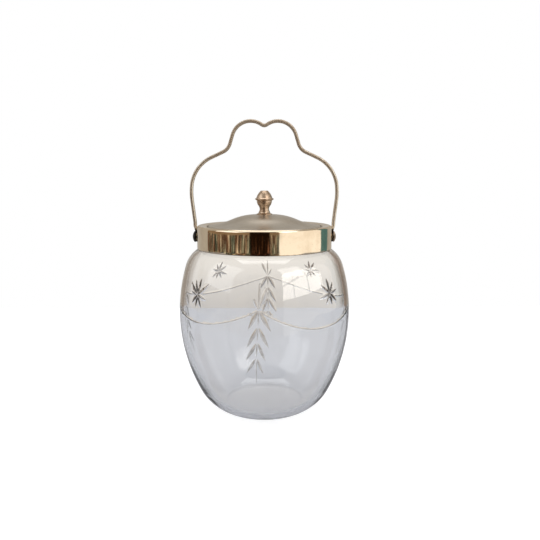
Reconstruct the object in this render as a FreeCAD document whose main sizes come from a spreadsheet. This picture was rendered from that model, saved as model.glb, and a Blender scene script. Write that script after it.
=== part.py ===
# Biscuit jar: a cut glass body in a plated collar, with a lift-off domed lid and a swinging bail.
# Millimetres, +Z up. The origin is the centre of the glass base, the bail pivots on the X axis line
# through its two screws, and the front of the jar faces -Y.
import FreeCAD, Part
import math
import os
import Sketcher

from FreeCAD import Placement, Rotation, Vector

DOC = FreeCAD.newDocument("biscuit_jar")
UP = Vector(0, 0, 1)

# Driving dimensions
SIZES = {
    # Glass body
    "foot_radius": 34.4,
    "heel_inset": 15.6,
    "heel_height": 18.0,
    "belly_radius": 70.0,
    "belly_height": 82.0,
    "shoulder_inset": 5.7,
    "shoulder_drop": 15.2,
    "body_height": 136.2,
    "neck_radius": 50.0,
    "neck_length": 13.2,
    "glass_wall": 3.0,
    "throat_drop": 1.9,
    "throat_shoulder_drop": 1.0,
    "neck_wall": 3.5,
    "floor_depth": 4.0,
    "floor_inset": 36.4,
    "bowl_rise": 15.84,
    "bowl_inset": 16.15,
    "rim_round": 1.2,
    # Plaster bed and collar
    "bed_gap": 3.9,
    "bed_play": 0.05,
    "bed_slant": 0.6,
    "collar_sheet": 0.9,
    "collar_lap": 1.6,
    "collar_round": 2.0,
    "rim_width": 7.3,
    "rim_rise": 2.7,
    "rim_fall": 0.7,
    "seat_gap": 0.3,
    "seat_sheet": 0.9,
    "seat_width": 3.0,
    "seat_recess": 0.15,
    "lip_length": 3.2,
    # Lid
    "lid_play": 0.6,
    "lid_sheet": 0.8,
    "lid_edge_rise": 2.0,
    "lid_edge_round": 0.9,
    "dome_rise": 9.2,
    "dome_land": 7.0,
    "dome_bend_inset": 19.0,
    "dome_bend_fall": 4.2,
    "dome_edge_lift": 0.3,
    "bezel_play": 0.4,
    "bezel_sheet": 0.8,
    "bezel_length": 7.5,
    "bezel_lift": 0.2,
    # Finial and its fixing
    "finial_foot": 6.35,
    "finial_foot_edge": 0.6,
    "finial_bead": 4.4,
    "finial_bead_height": 2.7,
    "finial_bead_edge": 0.22,
    "finial_waist": 3.8,
    "finial_waist_height": 4.2,
    "finial_cup_bend": 4.85,
    "finial_cup_bend_height": 7.2,
    "finial_cup": 6.15,
    "finial_cup_height": 11.2,
    "finial_ring": 7.65,
    "finial_ring_height": 12.3,
    "finial_ring_edge": 0.4,
    "finial_cap": 6.5,
    "finial_cap_height": 13.4,
    "finial_cap_step": 0.5,
    "finial_cap_lean": 0.17,
    "finial_crown": 3.1,
    "finial_crown_height": 18.9,
    "finial_crown_bevel": 0.3,
    "stud_radius": 2.0,
    "stud_depth": 8.0,
    "stud_length": 7.0,
    "stud_play": 0.15,
    "stud_end_gap": 0.3,
    "thread_play": 0.03,
    "disc_radius": 6.0,
    "disc_sheet": 0.8,
    "finial_nut_across": 7.0,
    "finial_nut_depth": 3.0,
    # Bail pivots
    "pivot_drop": 9.5,
    "pin_radius": 1.6,
    "pin_play": 0.08,
    "spacer_radius": 3.8,
    "spacer_sheet": 0.25,
    "head_radius": 4.4,
    "head_depth": 2.2,
    "head_edge": 0.7,
    "side_play": 0.05,
    "pivot_nut_across": 6.0,
    "pivot_nut_depth": 2.0,
    "pocket_play": 0.25,
    "pin_stick_out": 0.4,
    # Bail
    "ear_sheet": 1.3,
    "ear_radius": 4.2,
    "ear_neck": 5.6,
    "strip_depth": 2.7,
    "strip_width": 4.2,
    "strip_round": 1.15,
    "ear_round": 0.45,
    "head_clearance": 0.4,
    "taper_length": 4.0,
    "arm_bend": 11.6,
    "arm_bend_round": 16.0,
    "arm_bow": 2.65,
    "arm_bow_height": 34.3,
    "arm_bow_round": 50.0,
    "haunch_bow": 1.05,
    "haunch_height": 56.6,
    "haunch_round": 27.9,
    "grip_neck_inset": 27.65,
    "grip_neck_height": 69.8,
    "grip_neck_round": 10.4,
    "grip_lobe_inset": 37.15,
    "grip_lobe_height": 100.8,
    "grip_lobe_round": 15.2,
    "grip_dip_height": 87.7,
    "grip_dip_round": 3.6,
}

# Places that several pieces share, each worked out from the driving dimensions
SHARED = {
    "heel_radius": "belly_radius - heel_inset",
    "shoulder_radius": "belly_radius - shoulder_inset",
    "shoulder_height": "body_height - shoulder_drop",
    "glass_top": "body_height + neck_length",
    "mouth_radius": "neck_radius - neck_wall",
    "floor_radius": "belly_radius - floor_inset",
    "collar_inner": "neck_radius + bed_gap",
    "collar_outer": "collar_inner + collar_sheet",
    "collar_foot": "body_height - collar_lap",
    "ledge_top": "glass_top + seat_gap + seat_sheet",
    "rim_top": "ledge_top + rim_rise",
    "rim_inner": "collar_outer - rim_width",
    "seat_top": "rim_top - rim_fall - seat_recess",
    "seat_inner": "rim_inner - seat_sheet",
    "lid_radius": "seat_inner - lid_play",
    "lip_inner": "lid_radius - seat_width",
    "lid_edge_top": "ledge_top + lid_edge_rise",
    "dome_top": "lid_edge_top + dome_rise",
    "dome_bend_radius": "lid_radius - dome_bend_inset",
    "dome_bend_top": "dome_top - dome_bend_fall",
    "dome_edge_radius": "lid_radius - lid_edge_round",
    "dome_edge_top": "lid_edge_top + dome_edge_lift",
    "bezel_outer": "lip_inner - bezel_play",
    "bezel_inner": "bezel_outer - bezel_sheet",
    "bezel_flange": "lid_radius - lid_sheet - bed_play",
    "bezel_seat": "ledge_top + bezel_lift",
    "pivot_height": "rim_top - pivot_drop",
    "spacer_face": "collar_outer + spacer_sheet",
    "ear_inner": "spacer_face + side_play",
    "ear_outer": "ear_inner + ear_sheet",
    "head_face": "ear_outer + side_play",
    "ear_middle": "ear_inner + ear_sheet / 2",
    "strip_middle": "ear_inner + strip_depth / 2",
    "taper_start": "pivot_height + head_radius + head_clearance",
    "arm_start": "taper_start + taper_length",
    "grip_neck": "strip_middle - grip_neck_inset",
    "grip_lobe": "strip_middle - grip_lobe_inset",
    "nut_face": "sqrt( collar_inner ^ 2 - pivot_nut_across ^ 2 / 3 )",
    "screw_tip": "nut_face - pivot_nut_depth - pin_stick_out",
}


def make_sheet():
    """One row for each driving dimension: its name in words, and its value under an alias."""
    sheet = DOC.addObject("Spreadsheet::Sheet", "sizes")
    for row, (alias, value) in enumerate(SIZES.items(), start=1):
        sheet.set("A%d" % row, alias.replace("_", " "))
        sheet.set("B%d" % row, str(value))
        sheet.setAlias("B%d" % row, alias)
    DOC.recompute()
    return sheet


SHEET = make_sheet()


def spell(text):
    """Writes an expression in terms of the sheet's cells alone."""
    words = []
    for word in str(text).replace("(", " ( ").replace(")", " ) ").split():
        if word in SHARED:
            words.append("( " + spell(SHARED[word]) + " )")
        elif word in SIZES:
            words.append("sizes." + word)
        else:
            words.append(word)
    return " ".join(words).replace("sqrt (", "sqrt(")


def size(text):
    """The number that an expression on the sheet gives."""
    return float(SHEET.evalExpression(spell(text)))


def bind(thing, **links):
    """Binds properties of an object to expressions on the sheet."""
    for name, text in links.items():
        thing.setExpression(name, spell(text))


def place(thing, x="0", y="0", z="0"):
    """Binds an object's position to expressions on the sheet."""
    thing.setExpression("Placement.Base.x", spell(x))
    thing.setExpression("Placement.Base.y", spell(y))
    thing.setExpression("Placement.Base.z", spell(z))


def make_body(label):
    body = DOC.addObject("PartDesign::Body", label)
    body.Label = label
    return body


def origin_plane(body, role):
    return next(part for part in body.Origin.OriginFeatures if part.Role == role)


def make_sketch(body, name, role, lift=None):
    """A sketch on one of the body's own planes, lifted along that plane's normal."""
    sketch = body.newObject("Sketcher::SketchObject", name)
    sketch.AttachmentSupport = [(origin_plane(body, role), "")]
    sketch.MapMode = "FlatFace"
    if lift is not None:
        sketch.setExpression("AttachmentOffset.Base.z", spell(lift))
    DOC.recompute()
    return sketch


def fix_point(sketch, edge, end, x, y):
    """Ties a point of an edge to expressions for both of its coordinates."""
    for kind, text in (("DistanceX", x), ("DistanceY", y)):
        value = size(text)
        if abs(value) < 1e-9:
            axis = -2 if kind == "DistanceX" else -1
            sketch.addConstraint(Sketcher.Constraint("PointOnObject", edge, end, axis))
            continue
        index = sketch.addConstraint(Sketcher.Constraint(kind, -1, 1, edge, end, value))
        sketch.setExpression("Constraints[%d]" % index, spell(text))


def fix_radius(sketch, edge, text):
    index = sketch.addConstraint(Sketcher.Constraint("Radius", edge, size(text)))
    sketch.setExpression("Constraints[%d]" % index, spell(text))


def arc_centre(point, other, tangent):
    """Centre of the circle that leaves a point along a tangent and passes through another."""
    normal = Vector(-tangent.y, tangent.x, 0)
    chord = other - point
    return point + normal * (chord.dot(chord) / (2 * chord.dot(normal)))


class Outline:
    """A chain of lines and arcs through named points, closed into a profile.

    An arc's way is one of: level_start or level_end, where it runs straight up or down at that
    end; plumb_start or plumb_end, where it runs flat there; after or before, where it runs
    smoothly out of the edge before it or into the edge after it.
    """

    def __init__(self, sketch, x, y):
        self.sketch = sketch
        self.points = [(x, y)]
        self.ways = []

    def line(self, x, y):
        self.points.append((x, y))
        self.ways.append("line")
        return self

    def arc(self, x, y, way):
        self.points.append((x, y))
        self.ways.append(way)
        return self

    def corner(self, index):
        x, y = self.points[index % len(self.points)]
        return Vector(size(x), size(y), 0)

    def tangent(self, index, at_end, centres):
        """Direction of travel along an edge at one of its ends."""
        start, end = self.corner(index), self.corner(index + 1)
        if centres[index] is None:
            return (end - start).normalize()
        spoke = (end if at_end else start) - centres[index]
        turn = (start - centres[index]).cross(end - centres[index]).z
        side = 1 if turn > 0 else -1
        return Vector(-spoke.y * side, spoke.x * side, 0).normalize()

    def centres(self):
        """Arc centres, those that stand alone first and then those that lean on a neighbour."""
        count = len(self.ways)
        found = [None] * count
        fixed = {"level_start": (0, Vector(0, 1, 0)), "level_end": (1, Vector(0, 1, 0)),
                 "plumb_start": (0, Vector(1, 0, 0)), "plumb_end": (1, Vector(1, 0, 0))}
        for index, way in enumerate(self.ways):
            if way in fixed:
                end, tangent = fixed[way]
                found[index] = arc_centre(self.corner(index + end), self.corner(index + 1 - end),
                                          tangent)
        for index, way in enumerate(self.ways):
            start, end = self.corner(index), self.corner(index + 1)
            if way == "after":
                found[index] = arc_centre(start, end, self.tangent(index - 1, True, found))
        for index in range(count - 1, -1, -1):
            start, end = self.corner(index), self.corner(index + 1)
            if self.ways[index] == "before":
                found[index] = arc_centre(end, start, self.tangent((index + 1) % count, False, found))
        return found

    def close(self, way="line"):
        """Draws the edges, the last one back to the start, and ties every point to the sheet."""
        self.ways.append(way)
        centres = self.centres()
        count = len(self.ways)
        ends = []
        for index, centre in enumerate(centres):
            start, end = self.corner(index), self.corner(index + 1)
            if centre is None:
                self.sketch.addGeometry(Part.LineSegment(start, end), False)
                ends.append((1, 2))
                continue
            circle = Part.Circle(centre, UP, (start - centre).Length)
            ahead = (start - centre).cross(end - centre).z > 0
            first, last = (start, end) if ahead else (end, start)
            low = math.atan2(first.y - centre.y, first.x - centre.x)
            high = math.atan2(last.y - centre.y, last.x - centre.x)
            self.sketch.addGeometry(Part.ArcOfCircle(circle, low, high), False)
            ends.append((1, 2) if ahead else (2, 1))
        for index in range(count):
            after = (index + 1) % count
            smooth = self.ways[index] == "before" or self.ways[after] == "after"
            kind = "Tangent" if smooth else "Coincident"
            self.sketch.addConstraint(
                Sketcher.Constraint(kind, index, ends[index][1], after, ends[after][0]))
            x, y = self.points[index]
            fix_point(self.sketch, index, ends[index][0], x, y)
            self.steady(index, ends[index])

    def steady(self, index, ends):
        """Keeps an arc's centre level with, or plumb over, the end that its way names."""
        way = self.ways[index]
        kind = {"level": "Horizontal", "plumb": "Vertical"}.get(way.split("_")[0])
        if kind is None:
            return
        end = ends[0] if way.endswith("start") else ends[1]
        self.sketch.addConstraint(Sketcher.Constraint(kind, index, 3, index, end))


def revolve(body, sketch):
    feature = body.newObject("PartDesign::Revolution", "turned")
    feature.Profile = sketch
    feature.ReferenceAxis = (sketch, ["V_Axis"])
    feature.Angle = 360
    DOC.recompute()
    return feature


def cross_bore(body, name, radius, height, reach):
    """A round bore along X, through both sides of a body."""
    sketch = make_sketch(body, name + "_sketch", "YZ_Plane")
    circle = Part.Circle(Vector(0, size(height), 0), UP, size(radius))
    sketch.addGeometry(circle, False)
    fix_radius(sketch, 0, radius)
    fix_point(sketch, 0, 3, "0", height)
    before = body.Shape.Volume
    pocket = body.newObject("PartDesign::Pocket", name)
    pocket.Profile = sketch
    pocket.Midplane = True
    bind(pocket, Length=reach)
    DOC.recompute()
    if body.Shape.Volume >= before:
        raise RuntimeError(name + " cuts nothing")
    return pocket


def make_glass_jar():
    body = make_body("glass_jar")
    sketch = make_sketch(body, "glass_outline", "XZ_Plane")
    outline = Outline(sketch, "0", "0")
    outline.line("foot_radius", "0")
    outline.arc("heel_radius", "heel_height", "before")
    outline.arc("belly_radius", "belly_height", "level_end")
    outline.arc("shoulder_radius", "shoulder_height", "level_start")
    outline.arc("neck_radius", "body_height", "after")
    outline.line("neck_radius", "glass_top - rim_round")
    outline.arc("neck_radius - rim_round", "glass_top", "after")
    outline.line("mouth_radius + rim_round", "glass_top")
    outline.arc("mouth_radius", "glass_top - rim_round", "after")
    outline.line("mouth_radius", "body_height - throat_drop")
    outline.arc("shoulder_radius - glass_wall", "shoulder_height - throat_shoulder_drop", "before")
    outline.arc("belly_radius - glass_wall", "belly_height", "level_end")
    outline.arc("belly_radius - glass_wall - bowl_inset", "floor_depth + bowl_rise", "level_start")
    outline.arc("floor_radius", "floor_depth", "after")
    outline.line("0", "floor_depth")
    outline.close()
    revolve(body, sketch)
    return body


def make_plaster_ring():
    """The bedding that fills the space between the glass neck and the collar."""
    body = make_body("plaster_ring")
    sketch = make_sketch(body, "bed_outline", "XZ_Plane")
    outline = Outline(sketch, "neck_radius + bed_play", "body_height + bed_slant")
    outline.line("collar_inner - bed_play", "body_height - bed_slant")
    outline.line("collar_inner - bed_play", "glass_top")
    outline.line("neck_radius + bed_play", "glass_top")
    outline.close()
    revolve(body, sketch)
    cross_bore(body, "nut_pockets", "pivot_nut_across / sqrt( 3 ) + pocket_play", "pivot_height",
               "2 * collar_outer")
    return body


def make_collar_band():
    """The spun band: a plain wall, a rounded corner and a rim that falls slightly inwards."""
    body = make_body("collar_band")
    sketch = make_sketch(body, "band_outline", "XZ_Plane")
    outline = Outline(sketch, "collar_outer", "collar_foot")
    outline.line("collar_outer", "rim_top - collar_round")
    outline.arc("collar_outer - collar_round", "rim_top", "after")
    outline.line("rim_inner", "rim_top - rim_fall")
    outline.line("rim_inner", "rim_top - rim_fall - collar_sheet")
    outline.line("collar_outer - collar_round", "rim_top - collar_sheet")
    outline.arc("collar_inner", "rim_top - collar_round", "before")
    outline.line("collar_inner", "collar_foot")
    outline.close()
    revolve(body, sketch)
    cross_bore(body, "pivot_holes", "pin_radius + pin_play", "pivot_height", "3 * collar_outer")
    return body


def make_collar_seat():
    """The soldered ring inside the rim: a wall, the ledge that the lid rests on, and a lip."""
    body = make_body("collar_seat")
    sketch = make_sketch(body, "seat_outline", "XZ_Plane")
    outline = Outline(sketch, "rim_inner", "ledge_top - seat_sheet")
    outline.line("rim_inner", "seat_top")
    outline.line("seat_inner", "seat_top")
    outline.line("seat_inner", "ledge_top")
    outline.line("lip_inner", "ledge_top")
    outline.line("lip_inner", "ledge_top - seat_sheet - lip_length")
    outline.line("lip_inner + seat_sheet", "ledge_top - seat_sheet - lip_length")
    outline.line("lip_inner + seat_sheet", "ledge_top - seat_sheet")
    outline.close()
    revolve(body, sketch)
    return body


def make_lid_dome():
    """The spun lid: a flat land under the finial, a dome, a hollow flare and a turned-down edge."""
    body = make_body("lid_dome")
    sketch = make_sketch(body, "dome_outline", "XZ_Plane")
    outline = Outline(sketch, "stud_radius + stud_play", "dome_top")
    outline.line("dome_land", "dome_top")
    outline.arc("dome_bend_radius", "dome_bend_top", "plumb_start")
    outline.arc("dome_edge_radius", "dome_edge_top", "after")
    outline.arc("lid_radius", "lid_edge_top - lid_edge_round", "level_end")
    outline.line("lid_radius", "ledge_top")
    outline.line("lid_radius - lid_sheet", "ledge_top")
    outline.line("lid_radius - lid_sheet", "dome_edge_top - lid_sheet")
    outline.arc("dome_bend_radius", "dome_bend_top - lid_sheet", "before")
    outline.arc("dome_land", "dome_top - lid_sheet", "plumb_end")
    outline.line("stud_radius + stud_play", "dome_top - lid_sheet")
    outline.close()
    revolve(body, sketch)
    return body


def make_lid_bezel():
    """The locating ring under the lid: a wall that drops inside the seat, with a soldered flange."""
    body = make_body("lid_bezel")
    sketch = make_sketch(body, "bezel_outline", "XZ_Plane")
    outline = Outline(sketch, "bezel_outer", "ledge_top - bezel_length")
    outline.line("bezel_outer", "bezel_seat")
    outline.line("bezel_flange", "bezel_seat")
    outline.line("bezel_flange", "bezel_seat + bezel_sheet")
    outline.line("bezel_inner", "bezel_seat + bezel_sheet")
    outline.line("bezel_inner", "ledge_top - bezel_length")
    outline.close()
    revolve(body, sketch)
    return body


def make_finial_knob():
    """The turned knob: foot, bead, waist, cup, sharp ring and domed cap, with a blind stud hole."""
    body = make_body("finial_knob")
    sketch = make_sketch(body, "knob_outline", "XZ_Plane")
    base = "dome_top"
    outline = Outline(sketch, "stud_radius + stud_play", base)
    outline.line("finial_foot", base)
    outline.line("finial_foot", base + " + finial_foot_edge")
    outline.arc("finial_bead", base + " + finial_bead_height", "level_end")
    outline.line("finial_bead", base + " + finial_bead_height + finial_bead_edge")
    outline.line("finial_bead - 2 * finial_bead_edge",
                 base + " + finial_bead_height + 2 * finial_bead_edge")
    outline.line("finial_waist", base + " + finial_waist_height")
    outline.arc("finial_cup_bend", base + " + finial_cup_bend_height", "level_start")
    outline.arc("finial_cup", base + " + finial_cup_height", "after")
    outline.line("finial_ring", base + " + finial_ring_height")
    outline.line("finial_ring", base + " + finial_ring_height + finial_ring_edge")
    outline.line("finial_cap", base + " + finial_cap_height")
    outline.line("finial_cap - finial_cap_lean", base + " + finial_cap_height + finial_cap_step")
    outline.arc("finial_crown", base + " + finial_crown_height", "after")
    outline.line("finial_crown - finial_crown_bevel",
                 base + " + finial_crown_height + finial_crown_bevel")
    outline.line("0", base + " + finial_crown_height + finial_crown_bevel")
    outline.line("0", base + " + stud_depth")
    outline.line("stud_radius + stud_play", base + " + stud_depth")
    outline.close()
    revolve(body, sketch)
    return body


def part_object(kind, name, **links):
    thing = DOC.addObject(kind, name)
    bind(thing, **links)
    return thing


def make_cut(label, base, tool):
    cut = DOC.addObject("Part::Cut", label)
    cut.Base = base
    cut.Tool = tool
    cut.Label = label
    return cut


def make_finial_stud():
    """The threaded rod that the knob and its nut share."""
    stud = part_object("Part::Cylinder", "finial_stud", Radius="stud_radius",
                       Height="stud_length + stud_depth - stud_end_gap")
    stud.Label = "finial_stud"
    place(stud, z="dome_top - stud_length")
    return stud


def make_finial_washer():
    disc = part_object("Part::Cylinder", "washer_disc", Radius="disc_radius", Height="disc_sheet")
    hole = part_object("Part::Cylinder", "washer_hole", Radius="stud_radius + stud_play",
                       Height="disc_sheet")
    cut = make_cut("finial_washer", disc, hole)
    place(cut, z="dome_top - lid_sheet - disc_sheet")
    return cut


def hex_nut(label, across, depth, bore):
    """A hexagon nut with its bore along local Z."""
    blank = part_object("Part::Prism", label + "_blank", Circumradius=across + " / sqrt( 3 )",
                        Height=depth)
    blank.Polygon = 6
    hole = part_object("Part::Cylinder", label + "_bore", Radius=bore, Height=depth)
    return make_cut(label, blank, hole)


def make_finial_nut():
    nut = hex_nut("finial_nut", "finial_nut_across", "finial_nut_depth",
                  "stud_radius + thread_play")
    place(nut, z="dome_top - lid_sheet - disc_sheet - finial_nut_depth")
    return nut


# The pivot pieces are drawn along local Z, measured outwards from the jar's axis, and turned
# to point along +X on the right and -X on the left.
SIDES = {"left": Rotation(Vector(0, 1, 0), -90), "right": Rotation(Vector(0, 1, 0), 90)}


def set_on_pivot(thing, side):
    thing.Placement = Placement(Vector(0, 0, 0), SIDES[side])
    thing.setExpression("Placement.Base.z", spell("pivot_height"))


def make_pivot_screw(side):
    """A round-headed screw: the domed head outside the ear, the shank through ear and collar."""
    body = make_body("pivot_screw_" + side)
    sketch = make_sketch(body, "screw_outline_" + side, "XZ_Plane")
    outline = Outline(sketch, "0", "screw_tip")
    outline.line("pin_radius", "screw_tip")
    outline.line("pin_radius", "head_face")
    outline.line("head_radius", "head_face")
    outline.line("head_radius", "head_face + head_edge")
    outline.arc("0", "head_face + head_depth", "plumb_end")
    outline.close()
    revolve(body, sketch)
    set_on_pivot(body, side)
    return body


def make_pivot_washer(side):
    disc = part_object("Part::Cylinder", "spacer_disc_" + side, Radius="spacer_radius",
                       Height="spacer_sheet")
    hole = part_object("Part::Cylinder", "spacer_hole_" + side, Radius="pin_radius + pin_play",
                       Height="spacer_sheet")
    place(disc, z="collar_outer")
    place(hole, z="collar_outer")
    cut = make_cut("pivot_washer_" + side, disc, hole)
    set_on_pivot(cut, side)
    return cut


def make_pivot_nut(side):
    """The nut inside the collar; its corners meet the round wall."""
    name = "pivot_nut_" + side
    nut = hex_nut(name, "pivot_nut_across", "pivot_nut_depth", "pin_radius + thread_play")
    place(nut.Base, z="nut_face - pivot_nut_depth")
    place(nut.Tool, z="nut_face - pivot_nut_depth")
    set_on_pivot(nut, side)
    return nut


def rounded_box(sketch, x, width, depth, corner):
    """A rectangle with rounded corners, centred on (x, 0), of a width along X and depth along Y."""
    left = x + " - ( " + width + " ) / 2"
    right = x + " + ( " + width + " ) / 2"
    near = "0 - ( " + depth + " ) / 2"
    far = "( " + depth + " ) / 2"
    outline = Outline(sketch, left + " + " + corner, near)
    outline.line(right + " - " + corner, near)
    outline.arc(right, near + " + " + corner, "after")
    outline.line(right, far + " - " + corner)
    outline.arc(right + " - " + corner, far, "after")
    outline.line(left + " + " + corner, far)
    outline.arc(left, far + " - " + corner, "after")
    outline.line(left, near + " + " + corner)
    outline.close("after")


def bent_run(sketch, corners, rounds):
    """A path of straight runs through named corners, each corner rounded by a tangent arc.

    The last corner lies on the vertical axis, where only half of its arc is drawn.
    """
    spots = [Vector(size(x), size(y), 0) for x, y in corners]
    radii = [size(text) for text in rounds]
    mirrored = Vector(-spots[-2].x, spots[-2].y, 0)
    chain = spots + [mirrored]
    pieces = []
    start = chain[0]
    for index in range(1, len(spots)):
        before = (chain[index - 1] - chain[index]).normalize()
        after = (chain[index + 1] - chain[index]).normalize()
        angle = before.getAngle(after)
        reach = radii[index - 1] / math.tan(angle / 2)
        enter = chain[index] + before * reach
        leave = chain[index] + after * reach
        bisector = (before + after).normalize()
        centre = chain[index] + bisector * (radii[index - 1] / math.sin(angle / 2))
        pieces.append(("line", start, enter))
        if index == len(spots) - 1:
            leave = centre - bisector * radii[index - 1]
        pieces.append(("arc", enter, leave, centre))
        start = leave
    ends = []
    for piece in pieces:
        if piece[0] == "line":
            sketch.addGeometry(Part.LineSegment(piece[1], piece[2]), False)
            ends.append((1, 2))
            continue
        enter, leave, centre = piece[1:]
        ahead = (enter - centre).cross(leave - centre).z > 0
        first, last = (enter, leave) if ahead else (leave, enter)
        low = math.atan2(first.y - centre.y, first.x - centre.x)
        high = math.atan2(last.y - centre.y, last.x - centre.x)
        circle = Part.Circle(centre, UP, (enter - centre).Length)
        sketch.addGeometry(Part.ArcOfCircle(circle, low, high), False)
        ends.append((1, 2) if ahead else (2, 1))
    for index in range(len(pieces) - 1):
        sketch.addConstraint(Sketcher.Constraint("Tangent", index, ends[index][1],
                                                 index + 1, ends[index + 1][0]))
    for index, text in enumerate(rounds):
        fix_radius(sketch, 2 * index + 1, text)
    fix_point(sketch, 0, 1, corners[0][0], corners[0][1])
    for index in range(1, len(corners)):
        point = sketch.addGeometry(Part.Point(spots[index]), True)
        fix_point(sketch, point, 1, corners[index][0], corners[index][1])
        sketch.addConstraint(Sketcher.Constraint("PointOnObject", point, 1, 2 * index - 2))
        if index < len(corners) - 1:
            sketch.addConstraint(Sketcher.Constraint("PointOnObject", point, 1, 2 * index))
    last = len(pieces) - 1
    sketch.addConstraint(Sketcher.Constraint("PointOnObject", last, 3, -2))
    sketch.addConstraint(Sketcher.Constraint("PointOnObject", last, ends[last][1], -2))


def make_bail_handle():
    """The strip bail: flat ears, bowed arms, haunches, a narrow neck and a two-lobed grip."""
    body = make_body("bail_handle")
    corners = [
        ("strip_middle", "arm_start"),
        ("strip_middle", "pivot_height + arm_bend"),
        ("strip_middle + arm_bow", "pivot_height + arm_bow_height"),
        ("strip_middle + haunch_bow", "pivot_height + haunch_height"),
        ("grip_neck", "pivot_height + grip_neck_height"),
        ("grip_lobe", "pivot_height + grip_lobe_height"),
        ("0", "pivot_height + grip_dip_height"),
    ]
    rounds = ["arm_bend_round", "arm_bow_round", "haunch_round", "grip_neck_round",
              "grip_lobe_round", "grip_dip_round"]
    run = make_sketch(body, "bail_run", "XZ_Plane")
    bent_run(run, corners, rounds)

    strip = make_sketch(body, "strip_section", "XY_Plane", lift="arm_start")
    rounded_box(strip, "strip_middle", "strip_depth", "strip_width", "strip_round")
    tongue = {"tongue_root": "pivot_height + ear_radius / 2", "tongue_top": "taper_start"}
    for name, height in tongue.items():
        section = make_sketch(body, name, "XY_Plane", lift=height)
        rounded_box(section, "ear_middle", "ear_sheet", "ear_neck", "ear_round")
        tongue[name] = section

    disc = make_sketch(body, "ear_disc", "YZ_Plane", lift="ear_inner")
    disc.addGeometry(Part.Circle(Vector(0, size("pivot_height"), 0), UP, size("ear_radius")), False)
    fix_radius(disc, 0, "ear_radius")
    fix_point(disc, 0, 3, "0", "pivot_height")

    ear = body.newObject("PartDesign::Pad", "ear")
    ear.Profile = disc
    bind(ear, Length="ear_sheet")
    DOC.recompute()

    taper = body.newObject("PartDesign::AdditiveLoft", "taper")
    taper.Profile = tongue["tongue_root"]
    taper.Sections = [tongue["tongue_top"], strip]
    taper.Ruled = True
    DOC.recompute()

    sweep = body.newObject("PartDesign::AdditivePipe", "strip")
    sweep.Profile = strip
    sweep.Spine = run
    DOC.recompute()

    bore = make_sketch(body, "ear_bore", "YZ_Plane", lift="ear_inner")
    bore.addGeometry(Part.Circle(Vector(0, size("pivot_height"), 0), UP, size("pin_radius")), False)
    fix_radius(bore, 0, "pin_radius + pin_play")
    fix_point(bore, 0, 3, "0", "pivot_height")
    pocket = body.newObject("PartDesign::Pocket", "pin_bore")
    pocket.Profile = bore
    pocket.Reversed = True
    bind(pocket, Length="ear_sheet")
    DOC.recompute()

    mirror = body.newObject("PartDesign::Mirrored", "other_half")
    mirror.Originals = [ear, taper, sweep, pocket]
    mirror.MirrorPlane = (origin_plane(body, "YZ_Plane"), [""])
    body.Tip = mirror
    DOC.recompute()
    return body


def make_all():
    nodes = [
        make_glass_jar(),
        make_plaster_ring(),
        make_collar_band(),
        make_collar_seat(),
        make_lid_dome(),
        make_lid_bezel(),
        make_finial_knob(),
        make_finial_stud(),
        make_finial_washer(),
        make_finial_nut(),
    ]
    for side in SIDES:
        nodes.append(make_pivot_screw(side))
        nodes.append(make_pivot_washer(side))
        nodes.append(make_pivot_nut(side))
    nodes.append(make_bail_handle())
    DOC.recompute()
    return nodes


def check(nodes):
    """Stops before anything is written if a feature failed or a shape is empty or broken."""
    for thing in DOC.Objects:
        if "Invalid" in thing.State or "Error" in thing.State:
            raise RuntimeError("%s is %s" % (thing.Name, thing.State))
    for node in nodes:
        if node.Shape.isNull() or not node.Shape.isValid() or not node.Shape.Solids:
            raise RuntimeError("%s has no valid solid" % node.Label)


def write(nodes):
    os.makedirs("parts", exist_ok=True)
    for node in nodes:
        node.Shape.exportStep("parts/" + node.Label + ".step")
        box = node.Shape.BoundBox
        print("%-20s solids %d  volume %9.1f  z %7.2f to %7.2f" % (
            node.Label, len(node.Shape.Solids), node.Shape.Volume, box.ZMin, box.ZMax))


NODES = make_all()
check(NODES)
write(NODES)
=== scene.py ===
import math

import bmesh
import bpy
import numpy as np
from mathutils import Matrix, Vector
from mathutils.geometry import delaunay_2d_cdt


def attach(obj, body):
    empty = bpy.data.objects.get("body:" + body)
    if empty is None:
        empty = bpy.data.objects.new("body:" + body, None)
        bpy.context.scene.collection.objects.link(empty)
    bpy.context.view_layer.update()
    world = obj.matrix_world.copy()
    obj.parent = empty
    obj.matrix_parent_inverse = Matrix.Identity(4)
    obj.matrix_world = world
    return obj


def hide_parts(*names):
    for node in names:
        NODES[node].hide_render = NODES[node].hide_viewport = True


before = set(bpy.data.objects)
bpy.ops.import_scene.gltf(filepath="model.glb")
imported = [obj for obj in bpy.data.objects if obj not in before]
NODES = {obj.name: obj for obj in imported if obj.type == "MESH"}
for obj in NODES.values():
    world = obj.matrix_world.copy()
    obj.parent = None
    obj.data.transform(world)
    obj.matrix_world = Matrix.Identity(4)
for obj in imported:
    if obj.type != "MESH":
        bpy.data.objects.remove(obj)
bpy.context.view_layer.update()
SCENE = bpy.context.scene

MM = 0.001
ROUND_STEPS = 288
ON_AXIS = 1e-6
LIGHT_BOUNCES = 24


def linked(name, data):
    """A new object in the scene."""
    thing = bpy.data.objects.new(name, data)
    SCENE.collection.objects.link(thing)
    return thing


# -------- camera

def make_camera():
    """The view that was fitted to the jar's outlines."""
    look_down, turn_right = 9.14, 0.594
    camera = linked("camera", bpy.data.cameras.new("camera"))
    camera.location = (0.0, -0.442, 0.187)
    camera.rotation_euler = (math.radians(90 - look_down), 0.0, math.radians(-turn_right))
    camera.data.lens = 36.0
    camera.data.sensor_width = 36.0
    camera.data.clip_start = 0.01
    SCENE.camera = camera


# -------- outlines and turning

def level_centre(point, other):
    """Centre of the arc that runs straight up at a point and passes through another."""
    x, z = point
    return ((other[0] ** 2 - x ** 2 + (other[1] - z) ** 2) / (2 * (other[0] - x)), z)


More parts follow.
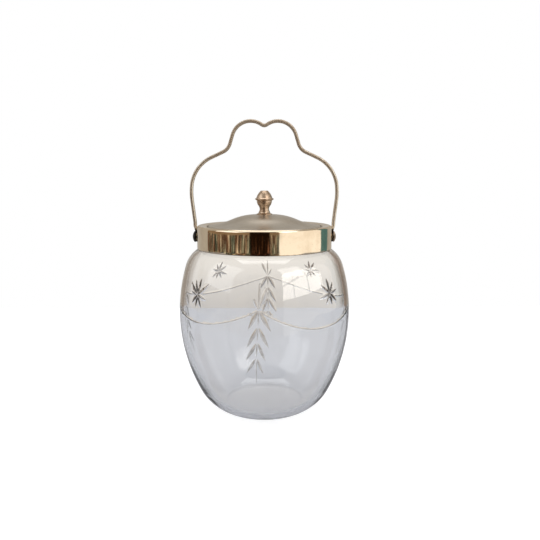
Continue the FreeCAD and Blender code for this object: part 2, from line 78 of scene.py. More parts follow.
def flat_centre(point, other):
    """Centre of the arc that runs level at a point and passes through another."""
    x, z = point
    return (x, ((other[0] - x) ** 2 + other[1] ** 2 - z ** 2) / (2 * (other[1] - z)))


def following_centre(point, other, centre):
    """Centre of the arc that leaves a point smoothly, where an arc about centre ended."""
    normal = np.subtract(point, centre) / math.dist(point, centre)
    chord = np.subtract(other, point)
    return tuple(np.add(point, normal * chord.dot(chord) / (2 * chord.dot(normal))))


def arc(start, end, centre, steps):
    """Points along an arc after its start, up to and with its end."""
    radius = math.dist(start, centre)
    first = math.atan2(start[1] - centre[1], start[0] - centre[0])
    turn = math.atan2(end[1] - centre[1], end[0] - centre[0]) - first
    turn = (turn + math.pi) % (2 * math.pi) - math.pi
    spots = []
    for step in range(1, steps + 1):
        angle = first + turn * step / steps
        spots.append((centre[0] + radius * math.cos(angle), centre[1] + radius * math.sin(angle)))
    return spots


def between(start, end, steps):
    """Points along a straight run after its start."""
    return [tuple(np.add(start, np.subtract(end, start) * step / steps))
            for step in range(1, steps + 1)]


def link_mesh(name, points, faces, body, material, replaced, crease=None):
    """Makes an object from points in millimetres and puts it on its body."""
    mesh = bpy.data.meshes.new(name)
    mesh.from_pydata([tuple(MM * value for value in point) for point in points], [], faces)
    form = bmesh.new()
    form.from_mesh(mesh)
    bmesh.ops.recalc_face_normals(form, faces=form.faces)
    form.to_mesh(mesh)
    form.free()
    mesh.shade_smooth()
    if crease is not None:
        mesh.set_sharp_from_angle(angle=math.radians(crease))
    piece = linked(name, mesh)
    mesh.materials.append(material)
    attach(piece, body)
    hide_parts(replaced)
    return piece


def ring_points(outline, ripple=None):
    """Rings of points for an outline of (radius, height), one point where it meets the axis."""
    points, rings = [], []
    for radius, height in outline:
        if radius < ON_AXIS:
            rings.append([len(points)])
            points.append((0.0, 0.0, height))
            continue
        rings.append(list(range(len(points), len(points) + ROUND_STEPS)))
        for step in range(ROUND_STEPS):
            angle = 2 * math.pi * step / ROUND_STEPS
            reach = radius + (ripple(angle, radius, height) if ripple else 0.0)
            points.append((reach * math.sin(angle), -reach * math.cos(angle), height))
    return points, rings


def ring_faces(rings, closed):
    """Faces between each ring and the next; a ring of one point makes a fan."""
    faces = []
    pairs = list(zip(rings, rings[1:]))
    if closed:
        pairs.append((rings[-1], rings[0]))
    for low, high in pairs:
        steps = max(len(low), len(high))
        if steps == 1:
            continue
        for step in range(steps):
            after = (step + 1) % steps
            if len(low) == 1:
                faces.append((low[0], high[after], high[step]))
            elif len(high) == 1:
                faces.append((low[step], low[after], high[0]))
            else:
                faces.append((low[step], low[after], high[after], high[step]))
    return faces


def turned(name, outline, body, material, replaced, crease=30, ripple=None):
    """A turned piece: a closed outline spun about the jar's axis."""
    points, rings = ring_points(outline, ripple=ripple)
    closed = max(outline[0][0], outline[-1][0]) >= ON_AXIS
    return link_mesh(name, points, ring_faces(rings, closed), body, material, replaced, crease)


# -------- material helpers

def fill(tree, socket, value):
    """Links an input to an output, or sets its value."""
    if isinstance(value, bpy.types.NodeSocket):
        tree.links.new(value, socket)
    else:
        socket.default_value = value


def add(tree, kind, settings=None, **inputs):
    """Adds a node, sets its properties, and fills inputs by name, or by number as i0 or i1."""
    node = tree.nodes.new(kind)
    for key, value in (settings or {}).items():
        setattr(node, key, value)
    for key, value in inputs.items():
        by_number = key[0] == "i" and key[1:].isdigit()
        fill(tree, node.inputs[int(key[1:]) if by_number else key.replace("_", " ")], value)
    return node


def maths(tree, operation, first, second=0.0, third=None, clamp=False):
    inputs = {"i0": first, "i1": second}
    if third is not None:
        inputs["i2"] = third
    node = add(tree, "ShaderNodeMath", {"operation": operation, "use_clamp": clamp}, **inputs)
    return node.outputs[0]


def times(tree, first, second, clamp=False):
    return maths(tree, "MULTIPLY", first, second, clamp=clamp)


def scaled(tree, value, factor, plus, clamp=False):
    return maths(tree, "MULTIPLY_ADD", value, factor, plus, clamp)


def blend_colour(tree, mask, first, second):
    return add(tree, "ShaderNodeMix", {"data_type": "RGBA"}, i0=mask, i6=first,
               i7=second).outputs[2]


def ramp(tree, value, low, high):
    """Spreads a value from low..high over 0..1, smoothly; low may be the greater one."""
    node = add(tree, "ShaderNodeMapRange", {"interpolation_type": "SMOOTHSTEP"}, Value=value,
               From_Min=low, From_Max=high, To_Min=0.0, To_Max=1.0)
    return node.outputs[0]


def noise(tree, place, scale, detail=3.0, roughness=0.5):
    return add(tree, "ShaderNodeTexNoise", Vector=place, Scale=scale, Detail=detail,
               Roughness=roughness).outputs["Fac"]


def object_place(tree):
    return add(tree, "ShaderNodeTexCoord").outputs["Object"]


def axes(tree, place):
    return add(tree, "ShaderNodeSeparateXYZ", Vector=place).outputs


def make_group(name, inputs, outputs):
    """An empty shader group with named sockets; returns the group, its inputs and its exit."""
    group = bpy.data.node_groups.new(name, "ShaderNodeTree")
    for label, kind, value in inputs:
        socket = group.interface.new_socket(name=label, in_out="INPUT", socket_type=kind)
        socket.default_value = value
    for label, kind in outputs:
        group.interface.new_socket(name=label, in_out="OUTPUT", socket_type=kind)
    entry = group.nodes.new("NodeGroupInput")
    leave = group.nodes.new("NodeGroupOutput")
    return group, entry.outputs, leave.inputs


COLOUR, NUMBER = "NodeSocketColor", "NodeSocketFloat"


def make_plate_wear():
    """Cloudy tarnish and clusters of dark pits, as on old silver plate."""
    group, given, made = make_group(
        "Plate Wear",
        [("Plate", COLOUR, (0.7, 0.66, 0.6, 1)), ("Tarnish", COLOUR, (0.4, 0.33, 0.25, 1)),
         ("Pit", COLOUR, (0.05, 0.04, 0.03, 1)), ("Cloud Size", NUMBER, 60.0),
         ("Tarnish Amount", NUMBER, 0.5), ("Pit Amount", NUMBER, 0.3),
         ("Polish", NUMBER, 0.1), ("Dullness", NUMBER, 0.3)],
        [("Color", COLOUR), ("Roughness", NUMBER), ("Height", NUMBER)])
    place = object_place(group)
    clouds = noise(group, place, given["Cloud Size"], 5.0, 0.6)
    patches = ramp(group, clouds, 0.42, 0.68)
    stain = times(group, patches, given["Tarnish Amount"], clamp=True)
    colour = blend_colour(group, stain, given["Plate"], given["Tarnish"])
    spots = noise(group, place, 900.0, 2.0, 0.6)
    cluster = ramp(group, noise(group, place, 45.0, 2.0), 0.5, 0.7)
    pits = times(group, ramp(group, spots, 0.66, 0.74), cluster)
    pits = times(group, pits, given["Pit Amount"], clamp=True)
    colour = blend_colour(group, pits, colour, given["Pit"])
    fine = noise(group, place, 2600.0, 2.0)
    rough = scaled(group, stain, given["Dullness"], given["Polish"])
    rough = scaled(group, fine, 0.05, rough)
    rough = scaled(group, pits, 0.4, rough, clamp=True)
    height = scaled(group, pits, -1.0, times(group, clouds, 0.6))
    group.links.new(colour, made["Color"])
    group.links.new(rough, made["Roughness"])
    group.links.new(height, made["Height"])
    return group


def make_spinning_marks():
    """Fine rings left by turning and polishing: lines that follow radius and height."""
    group, given, made = make_group(
        "Spinning Marks", [("Spacing", NUMBER, 900.0), ("Break Up", NUMBER, 0.5)],
        [("Height", NUMBER)])
    place = object_place(group)
    parts = axes(group, place)
    radius = maths(group, "SQRT", maths(group, "ADD", times(group, parts[0], parts[0]),
                                        times(group, parts[1], parts[1])))
    along = maths(group, "ADD", radius, parts[2])
    across = maths(group, "SUBTRACT", radius, parts[2])
    line = add(group, "ShaderNodeCombineXYZ", X=along, Y=across, Z=0.0).outputs[0]
    lines = noise(group, line, given["Spacing"], 3.0, 0.7)
    breaks = noise(group, place, 90.0, 2.0)
    kept = scaled(group, breaks, given["Break Up"], 0.6)
    group.links.new(times(group, lines, kept), made["Height"])
    return group


def make_hand_scratches():
    """Short fine wipe marks that run in two crossing directions."""
    group, given, made = make_group(
        "Hand Scratches", [("Size", NUMBER, 400.0), ("Strength", NUMBER, 1.0)],
        [("Height", NUMBER), ("Mask", NUMBER)])
    place = object_place(group)
    total = None
    for turn, stretch in (((0.4, 0.1, 0.9), (1.0, 14.0, 9.0)),
                          ((0.2, 0.8, 2.3), (12.0, 1.0, 8.0))):
        mapped = add(group, "ShaderNodeMapping", Vector=place, Rotation=turn,
                     Scale=stretch).outputs[0]
        line = ramp(group, noise(group, mapped, given["Size"], 2.0, 0.6), 0.6, 0.75)
        total = line if total is None else maths(group, "MAXIMUM", total, line)
    mask = times(group, total, given["Strength"], clamp=True)
    group.links.new(times(group, mask, -1.0), made["Height"])
    group.links.new(mask, made["Mask"])
    return group


def make_height_band():
    """One between two heights on the object, fading out over a soft edge with a ragged border."""
    group, given, made = make_group(
        "Height Band", [("Low", NUMBER, 0.0), ("High", NUMBER, 0.1), ("Ragged", NUMBER, 0.001),
                        ("Soft", NUMBER, 0.001), ("Grain", NUMBER, 300.0)],
        [("Mask", NUMBER)])
    place = object_place(group)
    height = axes(group, place)[2]
    shift = maths(group, "SUBTRACT", noise(group, place, given["Grain"], 3.0, 0.6), 0.5)
    height = scaled(group, shift, given["Ragged"], height)
    rise = maths(group, "DIVIDE", maths(group, "SUBTRACT", height, given["Low"]), given["Soft"],
                 clamp=True)
    fall = maths(group, "DIVIDE", maths(group, "SUBTRACT", given["High"], height), given["Soft"],
                 clamp=True)
    group.links.new(times(group, rise, fall), made["Mask"])
    return group


PLATE_WEAR = make_plate_wear()
SPINNING_MARKS = make_spinning_marks()
HAND_SCRATCHES = make_hand_scratches()
HEIGHT_BAND = make_height_band()


def set_inputs(tree, node, **values):
    for key, value in values.items():
        fill(tree, node.inputs[key.replace("_", " ")], value)


def use_group(tree, group, **values):
    node = tree.nodes.new("ShaderNodeGroup")
    node.node_tree = group
    set_inputs(tree, node, **values)
    return node.outputs


def new_material(name):
    material = bpy.data.materials.new(name)
    material.use_nodes = True
    tree = material.node_tree
    return material, tree, tree.nodes["Principled BSDF"]


def bumped(tree, height, strength, distance):
    return add(tree, "ShaderNodeBump", Strength=strength, Distance=distance,
               Height=height).outputs[0]


WEAR_AND_SHADE_ROUGHER, WIPE_ROUGHER = 0.25, 0.08
WIPE_RELIEF, TURNING_RELIEF = 0.4, 1.5


def plated(name, plate, tarnish, polish, dullness, cloud, amount, pits, marks=0.0, mark_depth=0.0,
           wear_and_shade=()):
    """Old plated metal: a bright plate, cloudy tarnish, pits, turning marks and wipe marks.

    Each zone of wear, stain or painted shade is (low, high, soft edge, share, colour), with heights
    in metres.
    """
    material, tree, shader = new_material(name)
    wear = use_group(tree, PLATE_WEAR, Plate=plate, Tarnish=tarnish, Cloud_Size=cloud,
                     Tarnish_Amount=amount, Pit_Amount=pits, Polish=polish, Dullness=dullness)
    wipe = use_group(tree, HAND_SCRATCHES, Size=320.0, Strength=0.5)
    colour, rough = wear["Color"], wear["Roughness"]
    # Zones pull the colour towards their own: wear and stain, and at the bail's ears painted shade.
    for low, high, soft, share, shade in wear_and_shade:
        edge = use_group(tree, HEIGHT_BAND, Low=low, High=high, Ragged=soft * 3, Soft=soft,
                         Grain=420.0)["Mask"]
        edge = times(tree, edge, share)
        colour = blend_colour(tree, edge, colour, shade)
        rough = scaled(tree, edge, WEAR_AND_SHADE_ROUGHER, rough, clamp=True)
    rough = scaled(tree, wipe["Mask"], WIPE_ROUGHER, rough, clamp=True)
    set_inputs(tree, shader, Base_Color=colour, Roughness=rough, Metallic=1.0)
    if mark_depth:
        height = scaled(tree, wipe["Height"], WIPE_RELIEF, wear["Height"])
        if marks:
            rings = use_group(tree, SPINNING_MARKS, Spacing=marks)
            height = scaled(tree, rings["Height"], TURNING_RELIEF, height)
        set_inputs(tree, shader, Normal=bumped(tree, height, 0.5, mark_depth))
    return material


def finish_glass(tree, shader, transmission, light_share):
    """Glass that also lets a share of the lamp light pass, so that the jar's shadow stays pale."""
    set_inputs(tree, shader, IOR=1.5, Transmission_Weight=transmission)
    clear = add(tree, "ShaderNodeBsdfTransparent", Color=[light_share] * 3 + [1]).outputs[0]
    path = add(tree, "ShaderNodeLightPath").outputs["Is Shadow Ray"]
    mix = add(tree, "ShaderNodeMixShader", i0=path, i1=shader.outputs[0], i2=clear).outputs[0]
    tree.links.new(mix, tree.nodes["Material Output"].inputs["Surface"])


def make_clear_glass():
    """Blown glass with a faint unevenness and a trace of grey."""
    material, tree, shader = new_material("clear_glass")
    place = object_place(tree)
    swirl = add(tree, "ShaderNodeMapping", Vector=place, Scale=(1.0, 1.0, 0.45)).outputs[0]
    uneven = noise(tree, swirl, 26.0, 2.0, 0.4)
    seed = ramp(tree, noise(tree, place, 700.0, 1.0), 0.76, 0.8)
    height = scaled(tree, seed, 0.04, uneven)
    film = ramp(tree, noise(tree, place, 40.0, 4.0, 0.6), 0.5, 0.75)
    colour = blend_colour(tree, film, (0.975, 0.98, 0.985, 1), (0.95, 0.955, 0.96, 1))
    set_inputs(tree, shader, Base_Color=colour, Roughness=0.0,
               Normal=bumped(tree, height, 0.35, 0.0012))
    finish_glass(tree, shader, 1.0, 0.96)
    return material


def make_cut_glass():
    """The ground faces of the cutting: grey, with the fine tooth of the wheel."""
    material, tree, shader = new_material("ground_cut")
    place = object_place(tree)
    tooth = noise(tree, place, 5200.0, 2.0, 0.7)
    cloud = noise(tree, place, 260.0, 3.0)
    pale = ramp(tree, cloud, 0.35, 0.7)
    colour = blend_colour(tree, pale, (0.42, 0.39, 0.36, 1), (0.66, 0.63, 0.6, 1))
    rough = scaled(tree, cloud, 0.2, 0.06)
    set_inputs(tree, shader, Base_Color=colour, Roughness=rough,
               Normal=bumped(tree, tooth, 0.5, 0.0001))
    finish_glass(tree, shader, 0.88, 0.8)
    return material


def make_plaster():
    """Set plaster: off-white and lumpy."""
    material, tree, shader = new_material("set_plaster")
    place = object_place(tree)
    lumps = noise(tree, place, 240.0, 5.0, 0.65)
    colour = blend_colour(tree, lumps, (0.72, 0.69, 0.62, 1), (0.9, 0.88, 0.83, 1))
    rough = scaled(tree, lumps, 0.2, 0.7)
    set_inputs(tree, shader, Base_Color=colour, Roughness=rough,
               Normal=bumped(tree, lumps, 0.6, 0.0006))
    return material


def make_painted_shade_black():
    """Nearly black brass with a dull sheen: painted shade on the left pivot head."""
    material, tree, shader = new_material("painted_shade_black")
    # Both colours here are near-black painted shade.
    wear = use_group(tree, PLATE_WEAR, Plate=(0.03, 0.026, 0.024, 1),
                     Tarnish=(0.01, 0.008, 0.008, 1), Cloud_Size=350.0, Tarnish_Amount=0.9,
                     Pit_Amount=0.4, Polish=0.5, Dullness=0.2)
    set_inputs(tree, shader, Base_Color=wear["Color"], Roughness=wear["Roughness"],
               Normal=bumped(tree, wear["Height"], 0.4, 0.0002), Specular_IOR_Level=0.25)
    return material


BAND_PLATE = plated(
    "band_plate", (0.8, 0.68, 0.52, 1), (0.45, 0.32, 0.19, 1), polish=0.04, dullness=0.1,
    cloud=55.0, amount=0.3, pits=0.7, marks=500.0, mark_depth=0.000008,
    wear_and_shade=[(0.1335, 0.1353, 0.0004, 0.75, (0.12, 0.07, 0.04, 1))])
LID_PLATE = plated(
    "lid_plate", (0.56, 0.51, 0.44, 1), (0.4, 0.34, 0.27, 1), polish=0.26, dullness=0.14,
    cloud=38.0, amount=0.6, pits=0.9, marks=420.0, mark_depth=0.00003)
SEAT_PLATE = plated(
    "seat_plate", (0.5, 0.45, 0.37, 1), (0.3, 0.24, 0.16, 1), polish=0.28, dullness=0.2,
    cloud=90.0, amount=0.7, pits=0.6, marks=420.0, mark_depth=0.00003)
KNOB_PLATE = plated(
    "knob_plate", (0.55, 0.42, 0.31, 1), (0.3, 0.2, 0.13, 1), polish=0.27, dullness=0.12,
    cloud=160.0, amount=0.6, pits=0.6)
BAIL_PLATE = plated(
    "bail_plate", (0.68, 0.61, 0.51, 1), (0.42, 0.33, 0.24, 1), polish=0.34, dullness=0.12,
    cloud=110.0, amount=0.5, pits=0.6,
    # Darker brown over the top of the bail, above 0.2 m.
    wear_and_shade=[(0.2, 0.3, 0.012, 0.6, (0.36, 0.27, 0.19, 1)),
          # Near black over both ears by the collar, up to 0.15 m: painted shade.
          (0.13, 0.1505, 0.0008, 0.97, (0.012, 0.01, 0.01, 1))])
FIXING_BRASS = plated(
    "fixing_brass", (0.72, 0.55, 0.3, 1), (0.4, 0.28, 0.14, 1), polish=0.3, dullness=0.2,
    cloud=220.0, amount=0.6, pits=0.4, mark_depth=0.00001)
CLEAR_GLASS = make_clear_glass()
GROUND_CUT = make_cut_glass()
SET_PLASTER = make_plaster()
PAINTED_SHADE_BLACK = make_painted_shade_black()


# -------- the glass and its cutting

FOOT, HEEL, BELLY = (34.4, 0.0), (54.4, 18.0), (70.0, 82.0)
SHOULDER, NECK = (64.3, 121.0), (50.0, 136.2)
BELLY_LOW_CENTRE = level_centre(BELLY, HEEL)
BELLY_HIGH_CENTRE = level_centre(BELLY, SHOULDER)
HEEL_CENTRE = following_centre(HEEL, FOOT, BELLY_LOW_CENTRE)
NECK_CENTRE = following_centre(SHOULDER, NECK, BELLY_HIGH_CENTRE)
CUT_LOW, CUT_HIGH = 33.0, 120.0
WALL_ROWS = 58
FAR = 1e9
GROUND_FROM = 0.004
FESTOON_STEPS = 40


def wall_radius(height):
    """Outer radius of the glass where it is cut."""
    centre = BELLY_LOW_CENTRE if height < BELLY[1] else BELLY_HIGH_CENTRE
    radius = BELLY[0] - centre[0]
    return centre[0] + math.sqrt(radius ** 2 - (height - centre[1]) ** 2)


class WallMap:
    """Lays the wall of the jar out flat as a ring, so that small shapes keep their angles.

    A place on the wall is (angle in degrees from the front towards the right, height in mm).
    """

    def __init__(self):
        self.heights = np.linspace(CUT_LOW, CUT_HIGH, 1200)
        self.radii = np.array([wall_radius(height) for height in self.heights])
        steps = np.hypot(np.diff(self.heights), np.diff(self.radii))
        turns = steps / (0.5 * (self.radii[1:] + self.radii[:-1]))
        self.logs = np.concatenate([[0.0], np.cumsum(turns)])

    def flat(self, angle, height):
        reach = math.exp(np.interp(height, self.heights, self.logs))
        angle = math.radians(angle)
        return np.array([reach * math.sin(angle), -reach * math.cos(angle)])

    def millimetre(self, spot):
        """How long one millimetre of the wall is on the flat ring at a spot."""
        reach = np.hypot(spot[0], spot[1])
        return reach / np.interp(math.log(reach), self.logs, self.radii)

    def round(self, spots, depths):
        """Points of the wall for spots on the ring, sunk by a depth along the wall's normal."""
        reach = np.clip(np.log(np.hypot(spots[:, 0], spots[:, 1])), 0.0, self.logs[-1])
        radius = np.interp(reach, self.logs, self.radii)
        height = np.interp(reach, self.logs, self.heights)
        centre = np.where(height < BELLY[1], BELLY_LOW_CENTRE[0], BELLY_HIGH_CENTRE[0])
        span = np.hypot(radius - centre, height - BELLY[1])
        radius = radius - depths * (radius - centre) / span
        height = height - depths * (height - BELLY[1]) / span
        angle = np.arctan2(spots[:, 0], -spots[:, 1])
        return np.stack([radius * np.sin(angle), -radius * np.cos(angle), height], axis=1)


class Cut:
    """One stroke of the cutting wheel: a V groove with a half width and a depth at each point."""

    def __init__(self, wall, line, half, depth):
        self.line = np.array(line)
        scale = np.array([wall.millimetre(spot) for spot in self.line])
        self.half = np.array(half) * scale
        self.depth = np.array(depth)
        ahead = np.gradient(self.line, axis=0)
        ahead /= np.linalg.norm(ahead, axis=1)[:, None]
        self.side = np.stack([-ahead[:, 1], ahead[:, 0]], axis=1)

    def strands(self):
        """The groove's bottom and its two rims, which meet at the pointed ends."""
        offset = self.side * self.half[:, None]
        return [self.line, self.line + offset, self.line - offset]

    def depth_at(self, spots):
        """The groove's depth at spots on the flat ring, and how far they lie outside its rim."""
        best = np.zeros(len(spots))
        nearest = np.full(len(spots), FAR)
        margin = self.half.max() * 4
        low, high = self.line.min(0) - margin, self.line.max(0) + margin
        chosen = np.nonzero(((spots > low) & (spots < high)).all(1))[0]
        for index in range(len(self.line) - 1):
            start, step = self.line[index], self.line[index + 1] - self.line[index]
            along = np.clip((spots[chosen] - start) @ step / (step @ step), 0, 1)
            away = np.linalg.norm(spots[chosen] - start - along[:, None] * step, axis=1)
            half = self.half[index] + along * (self.half[index + 1] - self.half[index])
            deep = self.depth[index] + along * (self.depth[index + 1] - self.depth[index])
            share = away / np.maximum(half, 1e-9)
            best[chosen] = np.maximum(best[chosen], deep * np.clip(1 - share, 0, 1))
            nearest[chosen] = np.minimum(nearest[chosen], away - half)
        return best, nearest


def leaf_cut(wall, root, tip, half, depth, widest=0.5, steps=9):
    """A pointed leaf between two places on the wall, widest at a share of its length."""
    start, end = wall.flat(*root), wall.flat(*tip)
    shares = np.linspace(0, 1, steps)
    power = math.log(0.5) / math.log(widest)
    shape = np.sin(math.pi * shares ** power) ** 0.9
    shape[[0, -1]] = 0.0
    line = start + shares[:, None] * (end - start)
    return Cut(wall, line, half * shape, depth * shape)


def line_cut(wall, places, half, depth):
    """A fine line through places on the wall, tapered at both ends."""
    line = [wall.flat(*place) for place in places]
    shape = np.ones(len(line))
    shape[[0, -1]] = 0.0
    shape[[1, -2]] = 0.7
    return Cut(wall, line, half * shape, depth * shape)


def star_cuts(wall, angle, height, rays):
    """A star of pointed rays; each ray is (direction clockwise from up, length in mm)."""
    cuts = []
    radius = wall_radius(height)
    for way, length in rays:
        ahead = np.array([math.sin(math.radians(way)), math.cos(math.radians(way))])
        inner, outer = ahead * 0.1, ahead * length
        ends = [(angle + math.degrees(step[0] / radius), height + step[1])
                for step in (inner, outer)]
        cuts.append(leaf_cut(wall, *ends, half=1.1, depth=0.7, widest=0.34))
    return cuts


def frond_cuts(wall, angle, sway, lift):
    """A hanging frond: upright spikes, a stem and four pairs of drooping leaves.

    Places are degrees and millimetres from its crown or from a knot of the stem, which a
    positive sway takes to the left on its way down.
    """
    top = 98.2 + lift
    knots = [(angle, top), (angle - 0.3 * sway, top - 12.2), (angle - 0.8 * sway, top - 23.6),
             (angle - 1.5 * sway, top - 35.8)]
    tail = (angle - 1.7 * sway, top - 57.0)
    # root angle and height, tip angle and height, half width, depth, share where it is widest
    crown = [(0.0, 0.0, 0.4 * sway, 19.0, 0.45, 0.3, 0.5), (0.2, 0.2, 5.0, 15.6, 1.15, 0.6, 0.6),
             (-0.3, 0.4, -3.2, 8.2, 0.6, 0.35, 0.5), (0.8, -0.6, 4.6, -4.0, 0.6, 0.35, 0.5),
             (-0.8, -0.6, -4.4, -3.4, 0.55, 0.3, 0.5)]
    cuts = [leaf_cut(wall, (angle + root, top + low), (angle + tip, top + high), *size)
            for root, low, tip, high, *size in crown]
    # left tip's angle and height, right tip's angle and height, half width
    pairs = [(-6.2, -14.2, 7.4, -15.8, 1.5), (-6.8, -15.6, 6.4, -15.6, 1.4),
             (-7.0, -13.8, 4.8, -14.2, 1.2), (-6.4, -12.0, 4.2, -12.4, 1.0)]
    for knot, (left, drop_left, right, drop_right, half) in zip(knots, pairs):
        for reach, drop, inset in ((left, drop_left, -0.4), (right, drop_right, 0.4)):
            root = (knot[0] + inset, knot[1] - 0.4)
            tip = (knot[0] + reach, knot[1] + drop)
            cuts.append(leaf_cut(wall, root, tip, half, 0.62 * half, widest=0.45))
    stops = knots + [tail]
    for index, (top, bottom) in enumerate(zip(stops, stops[1:])):
        cuts.append(leaf_cut(wall, (top[0], top[1] - 0.5), (bottom[0], bottom[1] + 0.6),
                             0.55 if index < 3 else 0.35, 0.3, widest=0.4))
    return cuts


def festoon_cut(wall, start, lowest, drop, rise):
    """The swag between two fronds, a quarter turn long, from one end to the other.

    It sags by drop at the angle lowest; a rise lifts its far end, a negative one its near end.
    """
    places = []
    for step in range(FESTOON_STEPS + 1):
        share = step / FESTOON_STEPS
        angle = start + 1.0 + 88.0 * step / FESTOON_STEPS
        side = (angle - lowest) / ((start - lowest) if angle < lowest else (start + 90 - lowest))
        level = 97.6 + (rise * share if rise > 0 else -rise * (1 - share))
        places.append((angle, level - drop * (1 - abs(side) ** 1.9)))
    return line_cut(wall, places, 0.42, 0.22)


def all_cuts(wall):
    """The whole pattern: four fronds, four stars and the swags between the fronds."""
    left_star = [(-22, 11.5), (11, 12.8), (49, 14.4), (105, 10.3), (151, 11.0), (188, 9.6),
                 (223, 9.8), (280, 8.8), (309, 13.4)]
    right_star = [(-51, 11.2), (-11, 11.8), (31, 9.0), (78, 9.4), (134, 10.4), (172, 9.0),
                  (215, 9.6), (258, 12.0)]
    far_stars = [[(way + turn, length * 0.92) for way, length in right_star] for turn in (14, -9)]
    cuts = []
    for angle, sway, lift in ((-3.6, 1.0, 0.0), (86.4, -0.5, 0.0), (177.4, 0.3, 3.2),
                              (-93.6, 0.6, 0.0)):
        cuts += frond_cuts(wall, angle, sway, lift)
    for angle, height, rays in ((-47.0, 104.8, left_star), (45.9, 106.0, right_star),
                                (139.5, 110.0, far_stars[0]), (-139.5, 108.8, far_stars[1])):
        cuts += star_cuts(wall, angle, height, rays)
    for start, lowest, drop, rise in ((-93.6, -45.5, 13.5, 0.0), (-3.6, 37.5, 16.4, 0.0),
                                      (86.4, 131.0, 11.5, 3.0), (177.4, 222.0, 11.5, -3.0)):
        cuts.append(festoon_cut(wall, start, lowest, drop, rise))
    return cuts


def cut_wall(wall, cuts):
    """Triangles of the cut wall: spots on the flat ring, their depths, faces, and the new number
    of each spot that went in, of which the first are the lowest and the highest ring."""
    spots, edges = [], []

    def strand(points, loop=False):
        first = len(spots)
        spots.extend(points)
        last = len(spots)
        edges.extend((index, index + 1) for index in range(first, last - 1))
        if loop:
            edges.append((last - 1, first))

    def unit_ring(shift):
        turns = np.arange(ROUND_STEPS) * 2 * math.pi / ROUND_STEPS + shift
        return np.stack([np.sin(turns), -np.cos(turns)], axis=1)

    strand(unit_ring(0.0), loop=True)
    strand(unit_ring(0.0) * math.exp(wall.logs[-1]), loop=True)
    grid = np.concatenate([
        unit_ring((row % 2) * math.pi / ROUND_STEPS) * math.exp(wall.logs[-1] * row / WALL_ROWS)
        for row in range(1, WALL_ROWS)])
    room = np.full(len(grid), FAR)
    for cut in cuts:
        room = np.minimum(room, cut.depth_at(grid)[1])
        for points in cut.strands():
            strand(points)
    clearance, wall_middle, weld = 0.35, 68.0, 1e-7
    scale = np.hypot(grid[:, 0], grid[:, 1]) / wall_middle
    spots.extend(grid[room > clearance * scale])
    made = delaunay_2d_cdt([Vector(spot) for spot in spots], edges, [], 0, weld)
    flat = np.array([tuple(spot) for spot in made[0]])
    low_ring = np.hypot(flat[:, 0], flat[:, 1]) < 1 + 1e-6
    faces = [face for face in made[2] if not low_ring[list(face)].all()]
    depths = np.zeros(len(flat))
    for cut in cuts:
        depths = np.maximum(depths, cut.depth_at(flat)[0])
    origin = {}
    for index, sources in enumerate(made[3]):
        for source in sources:
            origin[source] = index
    return flat, depths, faces, origin


def glass_outlines():
    """The lathe outline below the cutting, and the one above it that goes on down the inside."""
    low_end = (wall_radius(CUT_LOW), CUT_LOW)
    high_end = (wall_radius(CUT_HIGH), CUT_HIGH)
    below = [(0.0, 0.0)] + between((0, 0), (33.4, 0.0), 10) + [FOOT]
    below += arc(FOOT, HEEL, HEEL_CENTRE, 16)
    below += arc(HEEL, low_end, BELLY_LOW_CENTRE, 10)
    lip_out, lip_out_top = (50.0, 148.2), (48.8, 149.4)
    lip_in_top, lip_in = (47.7, 149.4), (46.5, 148.2)
    inner_neck, inner_shoulder, inner_belly = (46.5, 134.3), (61.3, 120.0), (67.0, 82.0)
    bowl, floor_edge, floor_middle = (50.85, 19.84), (33.6, 4.0), (0.0, 4.0)
    high_centre = level_centre(inner_belly, inner_shoulder)
    neck_centre = following_centre(inner_shoulder, inner_neck, high_centre)
    low_centre = level_centre(inner_belly, bowl)
    above = [high_end] + arc(high_end, SHOULDER, BELLY_HIGH_CENTRE, 2)
    above += arc(SHOULDER, NECK, NECK_CENTRE, 16)
    above += between(NECK, lip_out, 4)
    above += arc(lip_out, lip_out_top, (48.8, 148.2), 6)
    above += between(lip_out_top, lip_in_top, 1)
    above += arc(lip_in_top, lip_in, (47.7, 148.2), 6)
    above += between(lip_in, inner_neck, 4)
    above += arc(inner_neck, inner_shoulder, neck_centre, 14)
    above += arc(inner_shoulder, inner_belly, high_centre, 14)
    above += arc(inner_belly, bowl, low_centre, 20)
    above += arc(bowl, floor_edge, following_centre(bowl, floor_edge, low_centre), 18)
    above += between(floor_edge, floor_middle, 10)
    return below, above


def make_glass():
    """The cut wall, joined at its lowest and highest ring to the plain glass under and over it."""
    wall = WallMap()
    flat, depths, cut_faces, origin = cut_wall(wall, all_cuts(wall))
    points, faces, seams = [], [], []
    for outline, seam in zip(glass_outlines(), (-1, 0)):
        shift = len(points)
        more, rings = ring_points(outline)
        points += more
        rings = [[index + shift for index in ring] for ring in rings]
        faces += ring_faces(rings, False)
        seams += rings[seam]
    shared = {origin[index]: number for index, number in enumerate(seams)}
    numbers = []
    for index, spot in enumerate(wall.round(flat, depths)):
        if index in shared:
            numbers.append(shared[index])
        else:
            numbers.append(len(points))
            points.append(tuple(spot))
    plain = len(faces)
    faces += [tuple(numbers[index] for index in face) for face in cut_faces]
    jar = link_mesh("cut_glass_jar", points, faces, "root", CLEAR_GLASS, "glass_jar")
    jar.data.materials.append(GROUND_CUT)
    ground = np.zeros(len(faces), np.int32)
    ground[plain:] = [max(depths[list(face)]) > GROUND_FROM for face in cut_faces]
    jar.data.polygons.foreach_set("material_index", ground)
    jar.data.polygons.foreach_set("use_smooth", ground == 0)


# -------- metal pieces

def band_ripple(angle, radius, height):
    """The slight waviness of thin spun metal."""
    return (0.035 * math.sin(5 * angle + 0.6) + 0.022 * math.sin(11 * angle + 2.1)
            + 0.01 * math.sin(23 * angle + 0.3 * height))


